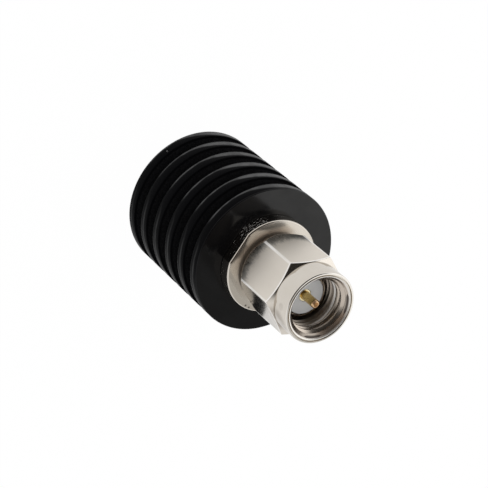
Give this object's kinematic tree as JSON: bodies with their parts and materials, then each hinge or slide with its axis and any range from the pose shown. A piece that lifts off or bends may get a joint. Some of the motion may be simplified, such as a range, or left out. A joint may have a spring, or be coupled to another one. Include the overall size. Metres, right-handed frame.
{
  "type": "coaxial terminator",
  "caption": "Coaxial load: a finned black heat sink on a threaded plug connector with a free-turning hex coupling nut and a gold centre pin.",
  "frame": {"origin": "centre of the heat sink's flat rear face, on the axis of the part", "axes": "+Z along the axis towards the mouth of the coupling nut, +X square to a wrench flat of the connector's flange"},
  "size_m": [0.016, 0.016, 0.0263],
  "materials": {
    "black_anodised": "black anodised, satin",
    "nickel_plate": "nickel plate on turned metal, satin",
    "gold_plate": "gold plate, polished",
    "ptfe": "white dielectric, matte",
    "black_rubber": "black rubber",
    "spring_bronze": "drawn bronze wire",
    "turned_brass": "turned brass",
    "silver_plate": "silver plate",
    "ceramic": "white fired ceramic",
    "resistor_glaze": "dark glazed film"
  },
  "bodies": {
    "load": {"heat_sink": "black_anodised", "connector_body": "nickel_plate", "retaining_ring": "spring_bronze", "seal_ring": "black_rubber", "front_insulator": "ptfe", "rear_insulator": "ptfe", "centre_contact": "gold_plate", "resistor_rod": "ceramic", "resistor_film": "resistor_glaze", "input_cap": "silver_plate", "ground_cap": "silver_plate", "ground_collet": "turned_brass", "taper_sleeve": "turned_brass"},
    "nut": {"coupling_nut": "nickel_plate"}
  },
  "joints": [
    {"name": "coupling_nut_turn", "type": "hinge", "parent": "load", "child": "nut", "pos_m": [0, 0, 0.01715], "axis": [0, 0, 1], "continuous": true}
  ]
}
